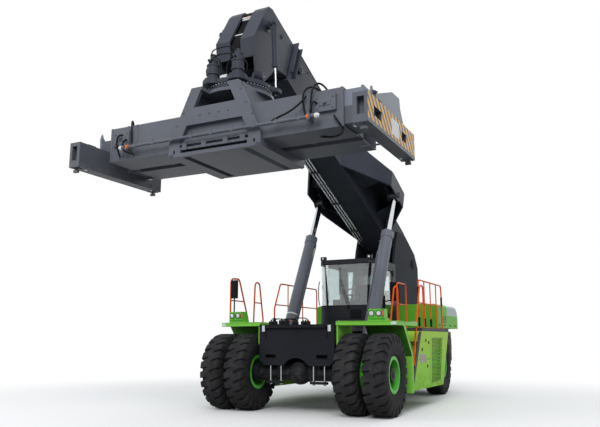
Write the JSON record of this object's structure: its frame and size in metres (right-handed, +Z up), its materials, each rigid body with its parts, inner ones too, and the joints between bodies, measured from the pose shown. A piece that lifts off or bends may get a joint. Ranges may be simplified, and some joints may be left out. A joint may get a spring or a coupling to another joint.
{
  "type": "reach stacker",
  "caption": "Container-handling machine on dual front and steered rear wheels, with cab, lifting telescopic boom and a slewing, telescopic spreader.",
  "frame": {"origin": "on the ground under the middle of the whole machine's box", "axes": "+Z up, -Y towards the spreader and front wheels, +X to the machine's left"},
  "size_m": [6.06, 11.26, 8.012],
  "materials": {
    "tyre": "matt black rubber",
    "rim_green": "satin bright green paint",
    "charcoal": "satin charcoal grey paint",
    "black_paint": "satin near-black paint",
    "fender_green": "gloss yellow-green paint",
    "box_green": "gloss mid green paint",
    "rail_orange": "gloss orange paint",
    "rod_chrome": "polished chrome",
    "cab_glass": "clear tinted glass",
    "seat_trim": "dark seat cloth",
    "cab_plastic": "matt dark plastic",
    "engine_iron": "dull cast iron"
  },
  "bodies": {
    "chassis": {"main_frame": "black_paint", "front_plate": "black_paint", "front_axle": "black_paint", "rear_axle": "black_paint", "boom_tower": "charcoal", "counterweight": "black_paint", "fenders": "fender_green", "side_boxes": "box_green", "engine_hood": "box_green", "engine_block": "engine_iron", "walkways": "black_paint", "ladders": "black_paint", "handrails": "rail_orange", "headlamps": "fender_green", "mirrors": "cab_plastic", "cab_shell": "black_paint", "cab_glass": "cab_glass", "driver_seat": "seat_trim", "cab_console": "cab_plastic"},
    "front_wheels_left": {"front_tyres_left": "tyre", "front_wheel_left": "rim_green"},
    "front_wheels_right": {"front_tyres_right": "tyre", "front_wheel_right": "rim_green"},
    "knuckle_left": {"knuckle_left": "black_paint"},
    "knuckle_right": {"knuckle_right": "black_paint"},
    "rear_wheel_left": {"rear_tyre_left": "tyre", "rear_wheel_left": "rim_green"},
    "rear_wheel_right": {"rear_tyre_right": "tyre", "rear_wheel_right": "rim_green"},
    "cab_door": {"cab_door": "black_paint", "cab_door_glass": "cab_glass"},
    "outer_boom": {"outer_boom": "charcoal", "boom_pipes": "rod_chrome"},
    "inner_boom": {"inner_boom": "charcoal", "boom_head": "charcoal"},
    "lift_barrels": {"lift_barrels": "charcoal"},
    "lift_rods": {"lift_rods": "rod_chrome"},
    "tilt_barrels": {"tilt_barrels": "charcoal"},
    "tilt_rods": {"tilt_rods": "rod_chrome"},
    "slewing_head": {"slewing_head": "charcoal", "slewing_motors": "black_paint"},
    "spreader_frame": {"spreader_frame": "charcoal"},
    "spreader_beams": {"spreader_beams": "charcoal"},
    "end_beam_left": {"end_beam_left": "charcoal"},
    "end_beam_right": {"end_beam_right": "charcoal"}
  },
  "joints": [
    {"name": "front_wheels_left_spin", "type": "hinge", "parent": "chassis", "child": "front_wheels_left", "pos_m": [1.55, -1.72, 0.814], "axis": [-1, 0, 0], "continuous": true},
    {"name": "front_wheels_right_spin", "type": "hinge", "parent": "chassis", "child": "front_wheels_right", "pos_m": [-1.55, -1.72, 0.814], "axis": [-1, 0, 0], "continuous": true},
    {"name": "steer_left", "type": "hinge", "parent": "chassis", "child": "knuckle_left", "pos_m": [1.08, 4.03, 0.814], "axis": [0, 0, 1], "range_deg": [-45, 45]},
    {"name": "steer_right", "type": "hinge", "parent": "chassis", "child": "knuckle_right", "pos_m": [-1.08, 4.03, 0.814], "axis": [0, 0, 1], "range_deg": [-45, 45]},
    {"name": "rear_wheel_left_spin", "type": "hinge", "parent": "knuckle_left", "child": "rear_wheel_left", "pos_m": [1.4, 4.03, 0.814], "axis": [-1, 0, 0], "continuous": true},
    {"name": "rear_wheel_right_spin", "type": "hinge", "parent": "knuckle_right", "child": "rear_wheel_right", "pos_m": [-1.4, 4.03, 0.814], "axis": [-1, 0, 0], "continuous": true},
    {"name": "cab_door_hinge", "type": "hinge", "parent": "chassis", "child": "cab_door", "pos_m": [0.79, 2.22, 2.6], "axis": [0, 0, 1], "range_deg": [0, 90]},
    {"name": "boom_lift", "type": "hinge", "parent": "chassis", "child": "outer_boom", "pos_m": [0, 4.68, 3.75], "axis": [-1, 0, 0], "range_deg": [-16, 33]},
    {"name": "boom_extend", "type": "slide", "parent": "outer_boom", "child": "inner_boom", "axis": [0, -0.9259, 0.3778], "range_m": [0, 6.3]},
    {"name": "lift_barrel_tilt", "type": "hinge", "parent": "chassis", "child": "lift_barrels", "pos_m": [0, -0.594, 1.18], "axis": [-1, 0, 0], "range_deg": [-1, 1.85]},
    {"name": "lift_rod_slide", "type": "slide", "parent": "lift_barrels", "child": "lift_rods", "axis": [0, 0.4779, 0.8784], "range_m": [-0.9293, 1.9114]},
    {"name": "spreader_level", "type": "hinge", "parent": "inner_boom", "child": "slewing_head", "pos_m": [0, -4.35027, 6.41021], "axis": [-1, 0, 0], "range_deg": [-33.5, 16.5]},
    {"name": "tilt_barrel_swing", "type": "hinge", "parent": "inner_boom", "child": "tilt_barrels", "pos_m": [0, -4.17001, 7.55063], "axis": [-1, 0, 0], "range_deg": [-5.81, 2.92]},
    {"name": "tilt_rod_slide", "type": "slide", "parent": "tilt_barrels", "child": "tilt_rods", "axis": [0, 0.0712, -0.9975], "range_m": [-0.1746, 0.0862]},
    {"name": "spreader_slew", "type": "hinge", "parent": "slewing_head", "child": "spreader_frame", "pos_m": [0, -4.41, 6], "axis": [0, 0, 1], "range_deg": [-105, 195]},
    {"name": "side_shift", "type": "slide", "parent": "spreader_frame", "child": "spreader_beams", "axis": [-1, 0, 0], "range_m": [-0.8, 0.8]},
    {"name": "end_beam_left_out", "type": "slide", "parent": "spreader_beams", "child": "end_beam_left", "axis": [1, 0, 0], "range_m": [0, 3.067]},
    {"name": "end_beam_right_out", "type": "slide", "parent": "spreader_beams", "child": "end_beam_right", "axis": [-1, 0, 0], "range_m": [0, 3.067]}
  ],
  "couplings": [
    {"joint": "steer_right", "follows": "steer_left", "ratio": 1},
    {"joint": "lift_barrel_tilt", "follows": "boom_lift", "ratio": 0.05},
    {"joint": "lift_rod_slide", "follows": "boom_lift", "m_per_rad": 3.31},
    {"joint": "spreader_level", "follows": "boom_lift", "ratio": -1},
    {"joint": "tilt_barrel_swing", "follows": "boom_lift", "ratio": -0.17},
    {"joint": "tilt_rod_slide", "follows": "boom_lift", "m_per_rad": -0.298},
    {"joint": "end_beam_right_out", "follows": "end_beam_left_out", "ratio": 1}
  ]
}
